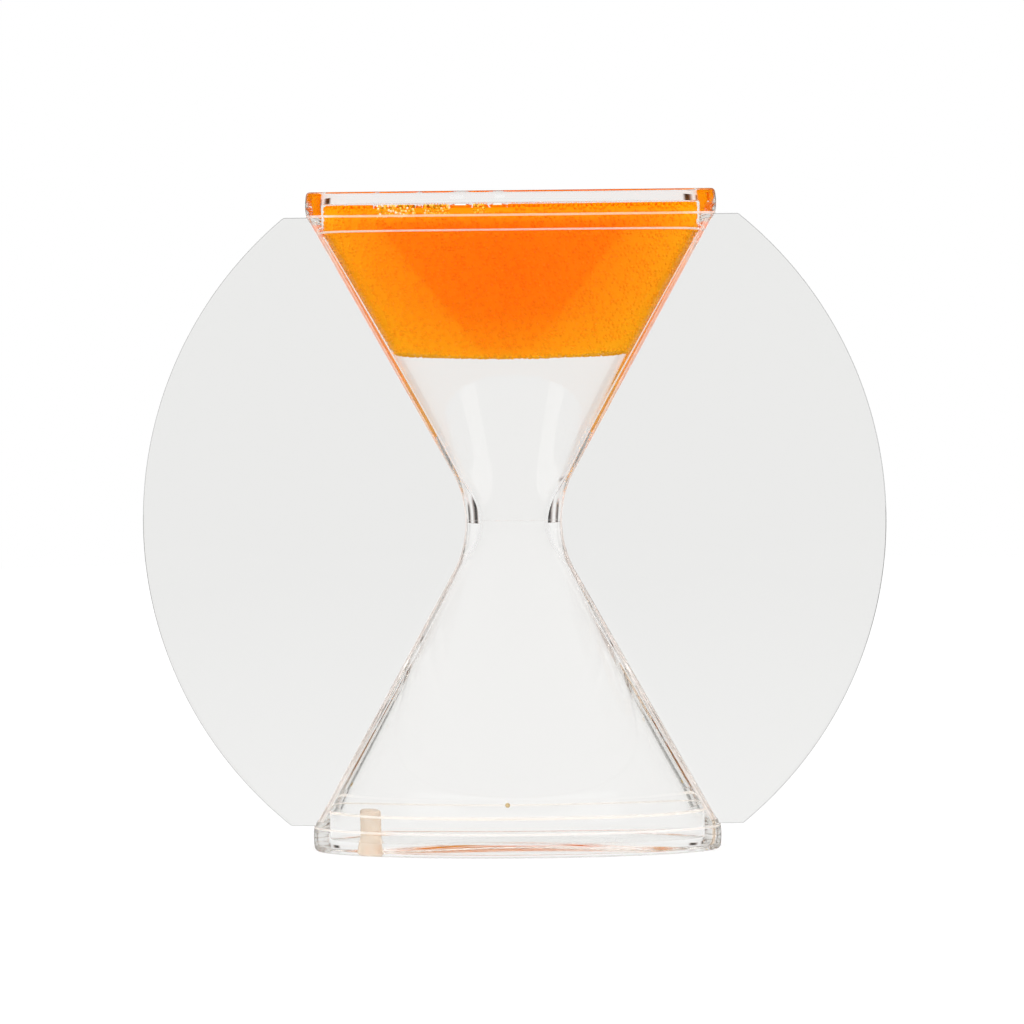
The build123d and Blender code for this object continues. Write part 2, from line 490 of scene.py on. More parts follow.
def make_cap(name, side):
    """Rim rows closed across the plate: by middle points above, by the filler hole's wall below."""
    points = oval_points(rim_rows)
    kinds = np.repeat(rim_finish, COLUMNS)
    if side > 0:
        flat, faces = poled_grid(points, (0, 0, ceiling), (0, 0, cap_height))
        finish = np.append(kinds[:-COLUMNS], np.repeat([WET, IN_AIR], COLUMNS))
    else:
        foot_edge = circle_points(plug_centre, plug_foot_radius, cap_height)
        points = np.concatenate([points, [foot_edge, circle_points(plug_centre, plug_radius, ceiling)]])
        flat, faces = points.reshape(-1, 3), grid_quads(len(points), COLUMNS, loop=True)[:, ::-1]
        finish = np.append(kinds, np.repeat([JOINT, WET], COLUMNS))
    flat[:, 2] = throat_level + side * chamber_height + side * flat[:, 2]
    return make_piece(name, flat, faces, ACRYLIC, finish)


for name, side in (("upper_cap", 1), ("lower_cap", -1)):
    cap = make_cap(f"{name}_lid", side)
    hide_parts(name)
    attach(cap, "vessel")

# %% [markdown]
# The wings. Each is a flat plate with a bowed outer edge, two straight edges and an inner edge that
# follows the chambers. The outline is drawn once for a given inset, and a stack of such outlines, drawn
# in along a quarter circle near each face, rounds the outer edges.

# %% Outline of a wing
wing_radius, wing_edge_round, wing_corner_round = 65.5 * MM, 0.5 * MM, 0.6 * MM
wing_half_width = wing_high[0]
wing_half_height = (wing_high[2] - wing_low[2]) / 2
film = 0.03 * MM
BOW_POINTS, CORNER_POINTS, FLANK_POINTS = 80, 9, 60
CORNER_SHRINK = 0.9


def wing_outline(inset, depth):
    """Right wing in (x, height above the throat): bowed edge, rounded corner, straight edge, flank.

    The flank is the chamber's oval at this depth: x = half-width * sqrt(1 - (depth / half-depth)^2).
    """
    radius, top = wing_radius - inset, wing_half_height - inset
    corner = wing_corner_round - inset * CORNER_SHRINK
    centre = wing_half_width - wing_radius
    corner_z = top - corner
    corner_x = centre + math.sqrt((radius - corner) ** 2 - corner_z**2)
    lift = math.atan2(corner_z, corner_x - centre)
    bow = np.linspace(0, lift, BOW_POINTS)
    bowed = np.column_stack([centre + radius * np.cos(bow), radius * np.sin(bow)])
    swing = np.linspace(lift, math.pi / 2, CORNER_POINTS + 1)[1:]
    rounded = np.column_stack([corner_x + corner * np.cos(swing), corner_z + corner * np.sin(swing)])
    heights = np.linspace(top, 0, FLANK_POINTS)
    oval = outer_rows(heights)
    flank = oval[:, 0] * np.sqrt(1 - (depth / oval[:, 1]) ** 2) + film
    upper = np.concatenate([bowed, rounded, np.column_stack([flank, heights])])
    lower = upper[-2:0:-1] * np.array([1, -1])
    return np.concatenate([upper, lower])


print("a wing's outline has", len(wing_outline(0.0, 0.0)), "points")

# %% Wings
EDGE_RINGS = 7
EDGE_SHARE = 0.3
WING_FACE, WING_EDGE, WING_JOINT = range(3)
round_angle = np.radians(np.linspace(0, 90, EDGE_RINGS))
ring_inset = wing_edge_round * (1 - np.cos(round_angle))
ring_depth = wing_half_thickness - wing_edge_round * (1 - np.sin(round_angle))
insets = np.concatenate([ring_inset[::-1], ring_inset])
depths = np.concatenate([-ring_depth[::-1], ring_depth])


def make_wing(name, side):
    """Stack of outlines across the thickness, closed by the two flat faces; the edge is less clear."""
    outlines = np.stack([wing_outline(*ring) for ring in zip(insets, depths)])
    rings, count = outlines.shape[:2]
    points = np.empty((rings, count, 3))
    points[..., 0] = side * outlines[..., 0]
    points[..., 1] = depths[:, None]
    points[..., 2] = throat_level + outlines[..., 1]
    near = np.arange(count)
    far = (rings - 1) * count + near
    quads = grid_quads(rings, count, loop=False)[:, ::-side]
    faces = quads.tolist() + [near[::side].tolist(), far[::-side].tolist()]
    on_edge = np.maximum(insets[:-1], insets[1:]) < wing_edge_round * EDGE_SHARE
    finish = np.repeat(np.where(on_edge, WING_EDGE, WING_FACE)[:, None], count, axis=1)
    flank_start = BOW_POINTS + CORNER_POINTS
    finish[:, flank_start : count - flank_start] = WING_JOINT
    finish = np.concatenate([finish.ravel(), [WING_FACE, WING_FACE]])
    return make_piece(name, points, faces, [wing_acrylic, wing_edge, acrylic_joint], finish)


for name, side in (("left_wing", -1), ("right_wing", 1)):
    wing = make_wing(f"{name}_plate", side)
    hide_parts(name)
    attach(wing, "vessel")

# %% [markdown]
# The filler plug. A small turned pin with a flared foot: a profile of radius and height is carried once
# round its axis. The plastic is pale and a little see-through.

# %% Filler plug
PLUG_COLUMNS = 64


def half_clear_plastic(name, grain, dark, pale, roughness, ior):
    """Pale plastic, more than half see-through: a noise of a scale per metre mixes two tones."""
    material, tree = new_material(name)
    shader = tree.nodes["Principled BSDF"]
    tone = mix_node(tree, noise_node(tree, grain), dark, pale)
    tree.links.new(tone, shader.inputs["Base Color"])
    shader.inputs["Roughness"].default_value = roughness
    shader.inputs["Transmission Weight"].default_value = 0.6
    shader.inputs["IOR"].default_value = ior
    return material


plug_foot, plug_tip = plug_low[2], plug_high[2]
plug_radii = MM * np.array([1.95, 2.1, 2.12, 1.72, 1.69, 1.68, 1.6, 1.4, 1.25])[:, None]
above_foot = plug_foot + MM * np.array([0, 0.04, 0.15, 1.75, 1.9])
below_tip = plug_tip - MM * np.array([0.35, 0.15, 0.02, 0])
plug_levels = np.concatenate([above_foot, below_tip])[:, None]
pin = circle_points(plug_centre, plug_radii, plug_levels, PLUG_COLUMNS)
axis_ends = [(*plug_centre[:2], z) for z in (plug_foot, plug_tip)]
plug_tones = (0.83, 0.70, 0.57, 1), (0.88, 0.82, 0.75, 1)
plug_finish = half_clear_plastic("pale_plug", 600.0, *plug_tones, roughness=0.25, ior=1.1)
plug = make_piece("filler_plug_pin", *poled_grid(pin, *axis_ends), [plug_finish])
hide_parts("filler_plug")
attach(plug, "vessel")

# %% [markdown]
# The bead bed. The real one is tens of thousands of beads. They could be filled in with a particle
# system, but only the outermost ones show, so beads are set in rows round the wall, in a layer under the
# ceiling and in a loose layer on the sagging underside, round a plain core. Where bubbles of air lie
# under the ceiling the beads are left out. Between the bubbles, by the front wall, lies a froth of smaller
# beads that are half dry.

# %% Where the bubbles and the underside are
rng = np.random.default_rng(seed=7)
contents_gap = 0.1 * MM
bed_round = 110.0 * MM
bubble_margin = 0.12 * MM
ceiling_level = mouth_level + ceiling


def underside(x, y):
    """Height of the bed's underside: the bottom of a sphere of radius bed_round."""
    return bed_bottom + bed_round - np.sqrt(bed_round**2 - x**2 - y**2)


def wall_room(z, inset):
    """Half-width and half-depth of the inside at a height, in the chamber and in the cap's pocket."""
    inside = inner_rows(np.atleast_1d(z) - throat_level)[:, :2]
    below = np.atleast_1d(z)[:, None] < spigot_level
    return np.where(below, inside, pocket[:2]) - inset


def pocket_front(x):
    """y of the cap's pocket at the front: -half-depth * sqrt(1 - (x / half-width)^2)."""
    return -pocket[1] * np.sqrt(1 - (x / pocket[0]) ** 2)


bubble_x = MM * np.array([-7.75, -1.75, -21.2, -14.45])
bubble_half_width = MM * np.array([1.8, 1.4, 0.4, 0.5])
bubble_half_height = MM * np.array([0.31, 0.31, 0.4, 0.36])
bubble_half_depth = -pocket_front(bubble_x) - bubble_margin
bubble_half = np.column_stack([bubble_half_width, bubble_half_depth, bubble_half_height])
bubble_level = ceiling_level - bubble_half_height - hair_gap
bubble_centre = np.column_stack([bubble_x, np.zeros_like(bubble_x), bubble_level])
print(len(bubble_x), "bubbles; the bed's lowest point is", round(bed_bottom / MM, 2), "mm up")

# %% Rings and layers of beads
RING_STEPS = 721
bead_step = 2 * bead_radius


def ring_of_beads(z, inset):
    """Beads side by side along an oval: t is read back from the oval's running length."""
    half_width, half_depth = wall_room(z, inset)[0]
    t = np.linspace(0, 2 * np.pi, RING_STEPS)
    x, y = half_width * np.cos(t), half_depth * np.sin(t)
    run = np.concatenate([[0], np.cumsum(np.hypot(np.diff(x), np.diff(y)))])
    count = int(run[-1] / bead_step)
    place = (np.arange(count) + rng.random()) / count * run[-1]
    where = np.interp(place % run[-1], run, t)
    return np.column_stack([half_width * np.cos(where), half_depth * np.sin(where), np.full(count, z)])


def layer_of_beads(half_width, half_depth):
    """Beads on a honeycomb grid clipped to an oval."""
    columns = np.arange(-half_width, half_width, bead_step)
    rows = np.arange(-half_depth, half_depth, bead_step * math.sqrt(0.75))
    x, y = np.meshgrid(columns, rows)
    x[1::2] += bead_step / 2
    inside = (x / half_width) ** 2 + (y / half_depth) ** 2 < 1
    return np.column_stack([x[inside], y[inside]])


bead_roof = ceiling_level - contents_gap - bead_radius
bead_inset = contents_gap + bead_radius + 0.02 * MM
chamber_row_step, cap_row_step, cap_first_row = 0.62 * MM, 0.69 * MM, 0.2 * MM
wall_jitter, under_jitter, under_scatter = 0.12 * MM, 0.1 * MM, 0.25 * MM
chamber_levels = np.arange(bed_bottom + bead_radius, spigot_level - bead_radius, chamber_row_step)
cap_levels = np.arange(spigot_level + cap_first_row, bead_roof, cap_row_step)
wall_levels = np.concatenate([chamber_levels, cap_levels])
wall_beads = np.concatenate([ring_of_beads(z, bead_inset) for z in wall_levels])
wall_beads += rng.normal(0, wall_jitter, wall_beads.shape)
under_xy = layer_of_beads(*wall_room(bed_bottom + 1.0 * MM, bead_inset)[0])
under_xy += rng.normal(0, under_jitter, under_xy.shape)
under_z = underside(*under_xy.T) + bead_radius + np.abs(rng.normal(0, under_scatter, len(under_xy)))
under_beads = np.column_stack([under_xy, under_z])
top_xy = layer_of_beads(*(pocket[:2] - bead_inset))
top_beads = np.column_stack([top_xy, np.full(len(top_xy), bead_roof)])
print(len(wall_beads), "beads by the wall,", len(under_beads), "below and", len(top_beads), "on top")

# %% Beads kept inside the walls
bead_centres = np.concatenate([wall_beads, under_beads, top_beads])
room = wall_room(bead_centres[:, 2], contents_gap + bead_radius)
spread = np.hypot(bead_centres[:, 0] / room[:, 0], bead_centres[:, 1] / room[:, 1])
bead_centres[:, :2] /= np.maximum(spread, 1.0)[:, None]
above = underside(bead_centres[:, 0], bead_centres[:, 1]) + bead_radius * 0.99
bead_centres[:, 2] = np.clip(bead_centres[:, 2], above, bead_roof)
print("the widest bead was moved in by", round(float((spread.max() - 1) * 100), 2), "%")

# %% Froth between the bubbles
froth_step = 0.4 * MM
froth_drop, froth_row, froth_roof = 0.34 * MM, 0.38 * MM, 0.33 * MM
froth_depth, froth_jitter, froth_radius = 0.35 * MM, 0.07 * MM, 0.23 * MM
bubble_clearance = bead_radius * 0.9
WETTEST, DRIER_BY_ROW = 0.02, 0.45


def froth(start, count, rows, driest):
    """Small beads on a jittered grid by the front wall, and how dry each is, more so lower down; dryness
    picks each bead's painted glint or shade.
    """
    x, row = np.meshgrid(start + froth_step * np.arange(count), np.arange(rows))
    row = row.ravel()
    shift = rng.normal(0, froth_jitter, (3, x.size))
    across = x.ravel() + froth_step / 2 * (row % 2) + shift[0]
    drop = np.maximum(froth_drop + froth_row * row + shift[1], froth_roof)
    front = pocket_front(across) + froth_depth + np.abs(shift[2])
    places = np.column_stack([across, front, ceiling_level - drop])
    return places, rng.uniform(WETTEST + DRIER_BY_ROW * row / rows, driest)


froths = [froth(-21.4 * MM, 16, 5, 1.0), froth(-13.8 * MM, 11, 4, 0.85), froth(-5.6 * MM, 5, 4, 0.7)]
froth_centres = np.concatenate([places for places, _ in froths])
froth_dry = np.concatenate([dry for _, dry in froths])
offset = (bead_centres[:, None, :] - bubble_centre) / (bubble_half + bubble_clearance)
free = (np.abs(offset).max(axis=-1) > 1).all(axis=1)
apart = np.linalg.norm(bead_centres[:, None, :] - froth_centres, axis=-1).min(axis=1)
bead_centres = bead_centres[free & (apart > bead_radius)]
print(len(bead_centres), "beads in the bed and", len(froth_centres), "small dry ones")

# %% [markdown]
# The beads' finish. Each bead carries a random tint, its height over the underside, where the loose beads
# are painted lighter and yellower, as light that passes through them, and how dry it is: dry beads are
# painted from dark shade to white glints. In a wedge that widens upwards from the throat, painted shade
# makes the beads redder; outwards from the wedge and downwards, painted light makes them yellower, and in
# the cap they are drawn a deeper orange. All this is drawn with Object coordinates.

# %% Tones of the bed
wedge_middle, wedge_slope, wedge_reach = -0.75 * MM, 0.785, 16.0 * MM
wedge_half, wedge_level = 5.0 * MM, 84.8 * MM
# painted light: the bed is drawn yellower towards its bottom, between these two heights
yellow_start, yellow_end = bed_bottom + 7.5 * MM, bed_bottom + 1.0 * MM
cap_start, cap_end = spigot_level, spigot_level + 2.5 * MM
SPARSE_TINTS = (0.6, 2.0)
# painted shade and light: redder inside the wedge, lighter and yellower outwards from it
wedge_shade_tones = [
    (0.0, (1.0, 0.245, 0.0005, 1)), (0.48, (1.0, 0.275, 0.001, 1)),
    (0.515, (1.0, 0.335, 0.003, 1)), (1.0, (1.0, 0.47, 0.006, 1)),
]
# painted shade and painted glints on dry froth beads: dark brown through orange to white
painted_glint_tones = [
    (0.0, (0.25, 0.13, 0.01, 1)), (0.22, (0.60, 0.34, 0.01, 1)), (0.42, (0.95, 0.46, 0.01, 1)),
    (0.7, (1.0, 0.72, 0.12, 1)), (1.0, (1.0, 0.97, 0.88, 1)),
]
# the tones below and of loose beads are painted light, as light that passes through the thin underside
painted_light_below_tone, cap_tone = (1.0, 0.41, 0.006, 1), (1.0, 0.32, 0.002, 1)
painted_light_loose_tone, sparse_tone = (1.0, 0.49, 0.012, 1), (1.0, 0.40, 0.006, 1)
print("the wedge is", round(2 * wedge_half / MM, 1), "mm wide at", round(wedge_level / MM, 1), "mm up")

# %% Bead finish


def tone_node(tree, factor, stops):
    """Colour that runs through the given (place, colour) stops while factor runs from 0 to 1."""
    node = tree.nodes.new("ShaderNodeValToRGB")
    ramp = node.color_ramp.elements
    ramp[0].color, ramp[1].color = stops[0][1], stops[-1][1]
    for place, colour in stops[1:-1]:
        ramp.new(place).color = colour
    tree.links.new(factor, node.inputs["Fac"])
    return node.outputs["Color"]


def value_of(tree, attribute):
    """Value that each point of the mesh carries under a name."""
    node = tree.nodes.new("ShaderNodeAttribute")
    node.attribute_name = attribute
    return node.outputs["Fac"]


def bead_material():
    """Orange plastic: a wedge of painted shade, a tint for each bead, painted light that is yellower below.
    """
    material, tree = new_material("orange_beads")
    shader = tree.nodes["Principled BSDF"]
    split = tree.nodes.new("ShaderNodeSeparateXYZ")
    tree.links.new(tree.nodes.new("ShaderNodeTexCoord").outputs["Object"], split.inputs[0])
    z = split.outputs["Z"]
    aside = math_node(tree, "ABSOLUTE", math_node(tree, "SUBTRACT", split.outputs["X"], wedge_middle))
    wedge = math_node(tree, "MULTIPLY_ADD", z, wedge_slope, wedge_half - wedge_slope * wedge_level)
    beyond = math_node(tree, "SUBTRACT", aside, wedge)
    # painted shade: beads redder inside the wedge, painted lighter and yellower outwards from it
    body = tone_node(tree, ramp_node(tree, beyond, -wedge_reach, wedge_reach, smooth=False), wedge_shade_tones)
    # painted light: yellower towards the bottom, and lighter and yellower where beads are loose by the
    # underside
    lower = ramp_node(tree, z, yellow_start, yellow_end, smooth=False, end=0.5)
    body = mix_node(tree, lower, body, painted_light_below_tone)
    body = mix_node(tree, ramp_node(tree, z, cap_start, cap_end, end=0.85), body, cap_tone)
    body = mix_node(tree, value_of(tree, "loose"), body, painted_light_loose_tone)
    sparse = ramp_node(tree, value_of(tree, "tint"), *SPARSE_TINTS)
    body = mix_node(tree, sparse, body, sparse_tone)
    # dry froth beads take painted shade or painted glints by how dry they are
    dry = value_of(tree, "dry")
    body = mix_node(tree, math_node(tree, "GREATER_THAN", dry, 0.01), body, tone_node(tree, dry, painted_glint_tones))
    tree.links.new(body, shader.inputs["Base Color"])
    shader.inputs["Roughness"].default_value = 0.3
    shader.inputs["IOR"].default_value = 1.04
    return material


orange = bead_material()
print("bead finish:", orange.name)

# %% [markdown]
# The bed's mesh. A bead is an icosahedron of twenty faces, which at this size looks round. One set of
# twelve points is turned a random way for each bead and moved to its centre, all in one array. The core
# behind the beads is a stack of ovals that stays a little inside them.

# %% Beads
golden = (1 + math.sqrt(5)) / 2
ico_points = np.array(
    [[-1, golden, 0], [1, golden, 0], [-1, -golden, 0], [1, -golden, 0],
     [0, -1, golden], [0, 1, golden], [0, -1, -golden], [0, 1, -golden],
     [golden, 0, -1], [golden, 0, 1], [-golden, 0, -1], [-golden, 0, 1]]
) / math.hypot(1, golden)
ico_faces = np.array(
    [[0, 11, 5], [0, 5, 1], [0, 1, 7], [0, 7, 10], [0, 10, 11],
     [1, 5, 9], [5, 11, 4], [11, 10, 2], [10, 7, 6], [7, 1, 8],
     [3, 9, 4], [3, 4, 2], [3, 2, 6], [3, 6, 8], [3, 8, 9],
     [4, 9, 5], [2, 4, 11], [6, 2, 10], [8, 6, 7], [9, 8, 1]]
)
radii = np.repeat([bead_radius, froth_radius], [len(bead_centres), len(froth_centres)])
all_centres = np.concatenate([bead_centres, froth_centres])
spin = np.linalg.qr(rng.normal(size=(len(radii), 3, 3)))[0]
spin *= np.sign(np.linalg.det(spin))[:, None, None]
turned = np.einsum("nij,vj->nvi", spin, ico_points)
bead_points = (all_centres[:, None, :] + radii[:, None, None] * turned).reshape(-1, 3)
bead_faces = (np.arange(len(radii))[:, None, None] * len(ico_points) + ico_faces).reshape(-1, 3)
print(len(bead_points), "points of beads")

# %% Core behind the beads
CORE_ROWS, CORE_OVALS, CORE_SKIP = 24, 9, 4
core_inset, core_lift = 0.34 * MM, 0.3 * MM
core_foot, core_roof = bed_bottom + core_lift, ceiling_level - 0.7 * MM
core_below, core_above = spigot_level - 0.3 * MM, spigot_level + 0.05 * MM
core_levels = np.append(np.linspace(core_foot, core_below, CORE_ROWS), [core_above, core_roof])
core_rows = np.column_stack([wall_room(core_levels, core_inset), core_levels])
share = np.linspace(0.1, 0.98, CORE_OVALS)[:, None]
low_ovals = core_rows[:1] * np.hstack([share, share, np.ones_like(share)])
core_grid = oval_points(np.concatenate([low_ovals, core_rows]))[:, ::CORE_SKIP].copy()
sag = underside(core_grid[..., 0], core_grid[..., 1]) + core_lift
core_grid[..., 2] = np.maximum(core_grid[..., 2], sag)
core_points, core_faces = poled_grid(core_grid, (0, 0, core_foot), (0, 0, core_roof))
print(len(core_points), "points of the core")

# %% Bead bed
loose_depth = 1.8 * MM
LOOSE_SHARE, SHARE_BY_TINT = 0.35, 0.75
bed_points = np.concatenate([core_points, bead_points])
bed_faces = core_faces + (bead_faces + len(core_points)).tolist()
bed = make_piece("bead_bed_beads", bed_points, bed_faces, [orange], sharp_deg=180)
corners = len(ico_points)
tints = np.concatenate([np.zeros(len(core_points)), np.repeat(rng.random(len(radii)), corners)])
wet_points = len(core_points) + corners * len(bead_centres)
dryness = np.concatenate([np.zeros(wet_points), np.repeat(froth_dry, corners)])
height = bed_points[:, 2] - underside(bed_points[:, 0], bed_points[:, 1])
# loose: share of painted light that makes beads near the underside lighter and yellower
loose = np.clip(1 - height / loose_depth, 0, 1) * (LOOSE_SHARE + SHARE_BY_TINT * tints)
for label, values in (("tint", tints), ("loose", loose), ("dry", dryness)):
    layer = bed.data.attributes.new(label, "FLOAT", "POINT")
    layer.data.foreach_set("value", values.astype(np.float32))
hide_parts("bead_bed")
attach(bed, "vessel")

# %% [markdown]
# Bubbles, liquid and the loose bead. A bubble is a flat rounded pocket that runs from the front of the bed
# to its back, so that the light behind it shows through. It is a ball whose points are drawn out towards
# the corners of its box. Air in liquid bends light the other way: its ratio is 1 over that of the liquid.
# The liquid keeps its solid from the model with a finish that doesn't bend light, since the walls already
# do. The loose bead keeps its solid too: one bead alone lets light through and looks paler than the bed.

# %% Bubbles
BALL_ROWS, BALL_COLUMNS = 11, 24
BOXINESS = 0.5
lift = np.radians(np.linspace(-90, 90, BALL_ROWS + 2)[1:-1])[:, None]
ball = circle_points((0, 0), np.cos(lift), np.sin(lift), BALL_COLUMNS)
ball = np.sign(ball) * np.abs(ball) ** BOXINESS
ball_points = np.concatenate([ball.reshape(-1, 3), [(0, 0, -1), (0, 0, 1)]])
bubble_points = bubble_centre[:, None, :] + bubble_half[:, None, :] * ball_points
first_point = np.arange(len(bubble_x))[:, None, None] * len(ball_points)
bubble_quads = (first_point + grid_quads(BALL_ROWS, BALL_COLUMNS, loop=False)).reshape(-1, 4)
bubble_fans = (first_point + pole_fans(BALL_ROWS, BALL_COLUMNS)).reshape(-1, 3)
air = clear_material("air_in_liquid", 1 / IOR_LIQUID, PURE)
bubbles = make_piece("air_bubbles", bubble_points, bubble_quads.tolist() + bubble_fans.tolist(), [air])
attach(bubbles, "vessel")

# %% Liquid and loose bead
loose_tones = (0.70, 0.54, 0.28, 1), (0.86, 0.72, 0.46, 1)
loose_bead = half_clear_plastic("loose_bead", 3000.0, *loose_tones, roughness=0.2, ior=1.12)
for name, material in (("carrier_liquid", liquid), ("rising_bead", loose_bead)):
    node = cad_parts[name]
    node.data.materials.clear()
    node.data.materials.append(material)
    print(name, "keeps its solid, finish", material.name)

# %% [markdown]
# The floor. A round white table, a plain disc. It is white to the camera and through glass, and keeps a
# soft shadow. Mirrored light is dimmed, as it would be by dark boards in front of the table. Seen through
# glass the floor has a painted pool of light, a little brighter near the timer than far away, and a warm
# painted shadow right under it.

# %% Floor
FLOOR_POINTS = 96
floor_radius, floor_drop = 0.65, 0.05 * MM
foot_half_width, foot_half_depth = 34.0 * MM, 12.5 * MM
SEEN_SHARE = 0.85
# painted pool of light near the timer and painted shadow under its foot, both seen only through glass
NEAR_GAIN, GAIN_BY_METRE = 0.05, -0.08
FLOOR_DIMMING = -0.9
FOOT_EDGE = (0.9, 1.15)
FOOT_SHADOW_TINT, WHITE = (0.72, 0.65, 0.62, 1), (1, 1, 1, 1)


def mirrored_rays(tree, path):
    """1 for light that a surface mirrors, 0 for light that passes through or is scattered."""
    return math_node(tree, "MULTIPLY", path["Is Glossy Ray"], path["Is Reflection Ray"])


def distance(tree, scale=(1.0, 1.0, 1.0)):
    """Length of the Object coordinates, each multiplied by a scale first."""
    mapping = tree.nodes.new("ShaderNodeMapping")
    mapping.inputs["Scale"].default_value = scale
    tree.links.new(tree.nodes.new("ShaderNodeTexCoord").outputs["Object"], mapping.inputs["Vector"])
    node = tree.nodes.new("ShaderNodeVectorMath")
    node.operation = "LENGTH"
    tree.links.new(mapping.outputs[0], node.inputs[0])
    return node.outputs["Value"]


def floor_material():
    """Glow where the camera or a glass face sees it, matt for all other light; through glass the glow holds
    a painted pool of light and a painted shadow under the foot.
    """
    material, tree = new_material("white_floor")
    tree.nodes.clear()
    glow = tree.nodes.new("ShaderNodeEmission")
    matt = tree.nodes.new("ShaderNodeBsdfDiffuse")
    matt.inputs["Color"].default_value = (0.92, 0.92, 0.92, 1)
    path = tree.nodes.new("ShaderNodeLightPath").outputs
    seen = math_node(tree, "MULTIPLY", path["Is Camera Ray"], SEEN_SHARE)
    seen = math_node(tree, "MAXIMUM", seen, path["Is Glossy Ray"])
    seen = math_node(tree, "MAXIMUM", seen, path["Is Transmission Ray"])
    # painted pool of light: seen through glass the glow is a little stronger near the timer
    nearer = math_node(tree, "MULTIPLY_ADD", distance(tree), GAIN_BY_METRE, NEAR_GAIN)
    shine = math_node(tree, "MULTIPLY_ADD", nearer, path["Is Transmission Ray"], 1.0)
    dimmed = math_node(tree, "MULTIPLY_ADD", mirrored_rays(tree, path), FLOOR_DIMMING, 1.0)
    tree.links.new(math_node(tree, "MULTIPLY", shine, dimmed), glow.inputs["Strength"])
    # painted shadow: warm and dim under the foot, seen only through glass
    from_foot = distance(tree, (1 / foot_half_width, 1 / foot_half_depth, 1.0))
    open_floor = math_node(tree, "MAXIMUM", ramp_node(tree, from_foot, *FOOT_EDGE), path["Is Camera Ray"])
    tree.links.new(mix_node(tree, open_floor, FOOT_SHADOW_TINT, WHITE), glow.inputs["Color"])
    surface = shader_mix(tree, seen, matt.outputs[0], glow.outputs[0])
    tree.links.new(surface, tree.nodes.new("ShaderNodeOutputMaterial").inputs["Surface"])
    return material


rim = circle_points((0, 0), floor_radius, -floor_drop, FLOOR_POINTS)
floor = make_piece("floor", rim, [list(range(FLOOR_POINTS))], [floor_material()])

# %% [markdown]
# The surround. White panels on four sides with low dark gaps near the corners and a soft light overhead.
# Clear edges bend light sideways, so they find something dark to show, as they do between the white
# boards of a photographer's table, while what lies straight behind stays white from any side. The beads
# are matt and show no gaps: the light on them comes from a surround without gaps and with brighter sides.
# Panels could be modelled and lit, but a world that depends on the direction alone has less noise.

# %% Surround
GAP_TINT = (1.0, 0.82, 0.76, 1)
GAP_DEPTH, SURROUND_DIMMING = -0.98, -0.98
OVERHEAD_GAIN, SIDE_GAIN = 0.38, 2.0
CORNER_EDGE, PANEL_EDGE = (0.72, 0.80), (0.82, 0.85)
FADE, FADE_LEVELS = -0.9, (0.10, 0.16)
LAST_FADE, LAST_LEVELS = -0.1, (0.40, 0.50)
FLOOR_LINE = -0.11
OVERHEAD_LEVELS, SIDE_REACH = (0.65, 0.90), (0.6, 0.95)


def gap_share(tree, x, y, z):
    """1 in the dark gaps: near a corner of the panels and low, fading out upwards and at the floor."""
    level = math_node(tree, "ADD", math_node(tree, "MULTIPLY", x, x), math_node(tree, "MULTIPLY", y, y))
    level = math_node(tree, "MAXIMUM", math_node(tree, "SQRT", level), 0.001)
    square_on = math_node(tree, "DIVIDE", math_node(tree, "MAXIMUM", x, y), level)
    corner = math_node(tree, "SUBTRACT", 1.0, ramp_node(tree, square_on, *PANEL_EDGE))
    corner = math_node(tree, "MULTIPLY", corner, ramp_node(tree, square_on, *CORNER_EDGE))
    upper = math_node(tree, "MULTIPLY_ADD", ramp_node(tree, z, *LAST_LEVELS), LAST_FADE, 1.0)
    low = math_node(tree, "MULTIPLY_ADD", ramp_node(tree, z, *FADE_LEVELS), FADE, upper)
    over_floor = math_node(tree, "GREATER_THAN", z, FLOOR_LINE)
    return math_node(tree, "MULTIPLY", math_node(tree, "MULTIPLY", corner, low), over_floor)


def studio_world():
    """Strength by direction: white panels on four sides, a soft light overhead, dark between them."""
    world = bpy.data.worlds.new("studio")
    world.use_nodes = True
    tree = world.node_tree
    tree.nodes.clear()
    back = tree.nodes.new("ShaderNodeBackground")
    split = tree.nodes.new("ShaderNodeSeparateXYZ")
    tree.links.new(tree.nodes.new("ShaderNodeTexCoord").outputs["Generated"], split.inputs[0])
    x = math_node(tree, "ABSOLUTE", split.outputs["X"])
    y = math_node(tree, "ABSOLUTE", split.outputs["Y"])
    z = split.outputs["Z"]
    path = tree.nodes.new("ShaderNodeLightPath").outputs
    on_beads = math_node(tree, "MINIMUM", path["Diffuse Depth"], 1.0)
    elsewhere = math_node(tree, "SUBTRACT", 1.0, on_beads)
    dark = math_node(tree, "MULTIPLY", gap_share(tree, x, y, z), elsewhere)
    strength = math_node(tree, "MULTIPLY_ADD", dark, GAP_DEPTH, 1.0)
    overhead = math_node(tree, "MULTIPLY", ramp_node(tree, z, *OVERHEAD_LEVELS), OVERHEAD_GAIN)
    strength = math_node(tree, "ADD", strength, overhead)
    sides = math_node(tree, "MULTIPLY", ramp_node(tree, x, *SIDE_REACH), on_beads)
    strength = math_node(tree, "MULTIPLY_ADD", sides, SIDE_GAIN, strength)
    dimmed = math_node(tree, "MULTIPLY_ADD", mirrored_rays(tree, path), SURROUND_DIMMING, 1.0)
    strength = math_node(tree, "MULTIPLY", strength, dimmed)
    strength = math_node(tree, "MAXIMUM", strength, path["Is Camera Ray"])
    tone = mix_node(tree, path["Is Camera Ray"], mix_node(tree, dark, WHITE, GAP_TINT), WHITE)
    tree.links.new(tone, back.inputs["Color"])
    tree.links.new(strength, back.inputs["Strength"])
    tree.links.new(back.outputs[0], tree.nodes.new("ShaderNodeOutputWorld").inputs["Surface"])
    return world


scene.world = studio_world()
print("surround:", scene.world.name)

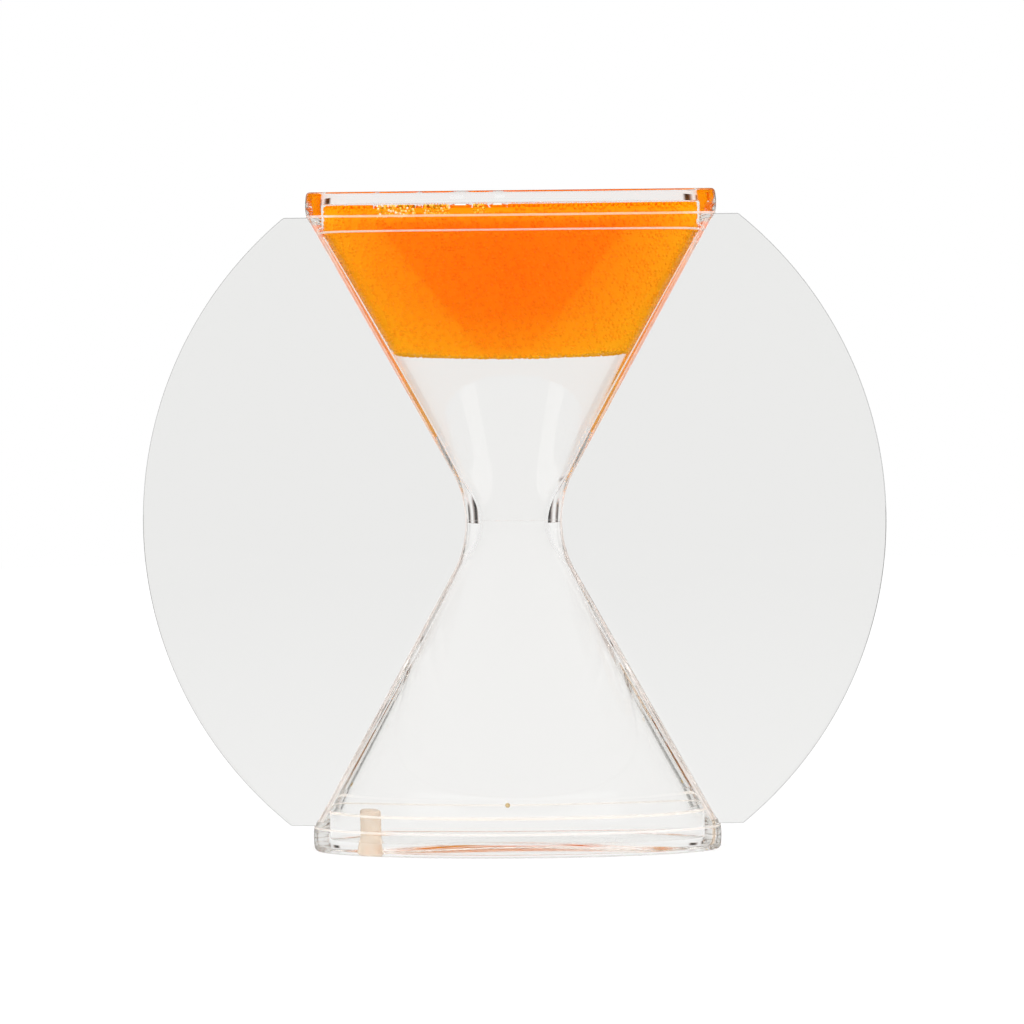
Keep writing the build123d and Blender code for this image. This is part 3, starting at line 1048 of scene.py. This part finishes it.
# %% [markdown]
# The lamp. One wide soft lamp above the camera lights the beads from the front. Glossy faces don't show
# it, because the clear walls would mirror its shape.

# %% Lamp


def soft_lamp(name, place, size, power):
    """Wide soft lamp turned towards the throat."""
    data = bpy.data.lights.new(name, "AREA")
    data.shape = "RECTANGLE"
    data.size, data.size_y = size
    data.energy = power
    lamp = bpy.data.objects.new(name, data)
    scene.collection.objects.link(lamp)
    lamp.location = place
    aim = Vector((0, 0, throat_level)) - lamp.location
    lamp.rotation_euler = aim.to_track_quat("-Z", "Y").to_euler()
    lamp.visible_glossy = False
    print(name, "lamp of", power, "W")


soft_lamp("key", place=(0.0, -1.0, 0.9), size=(2.4, 0.8), power=8.0)

# %% [markdown]
# Camera. A long lens about 0.83 m away, level with the top of the timer and a little to the right.

# %% Camera
CAMERA_DISTANCE = 0.833
CAMERA_AZIMUTH, CAMERA_ELEVATION, CAMERA_ROLL = 2.0, 3.74, 0.65
aim = Vector((-0.3 * MM, 0.0, throat_level + 1.5 * MM))
azimuth, elevation = math.radians(CAMERA_AZIMUTH), math.radians(CAMERA_ELEVATION)
level = math.cos(elevation)
away = Vector((math.sin(azimuth) * level, -math.cos(azimuth) * level, math.sin(elevation)))
lens = bpy.data.cameras.new("camera")
lens.lens = 175.8
lens.sensor_width = 36.0
lens.clip_start = 0.01
camera = bpy.data.objects.new("camera", lens)
scene.collection.objects.link(camera)
camera.location = aim + CAMERA_DISTANCE * away
facing = (-away).to_track_quat("-Z", "Y").to_matrix()
camera.rotation_euler = (facing @ Matrix.Rotation(-math.radians(CAMERA_ROLL), 3, "Z")).to_euler()
scene.camera = camera
print("camera", [round(v, 3) for v in camera.location])

# %% [markdown]
# Light paths. Light that runs along inside a clear wall is mirrored many times before it comes out, so
# many more bounces are allowed than usual, and no blur is added to what is mirrored.

# %% Light paths and colours
scene.view_settings.view_transform = "Standard"
scene.cycles.max_bounces = 96
scene.cycles.transmission_bounces = 64
scene.cycles.glossy_bounces = 48
scene.cycles.diffuse_bounces = 24
scene.cycles.blur_glossy = 0.0
print("up to", scene.cycles.max_bounces, "bounces")
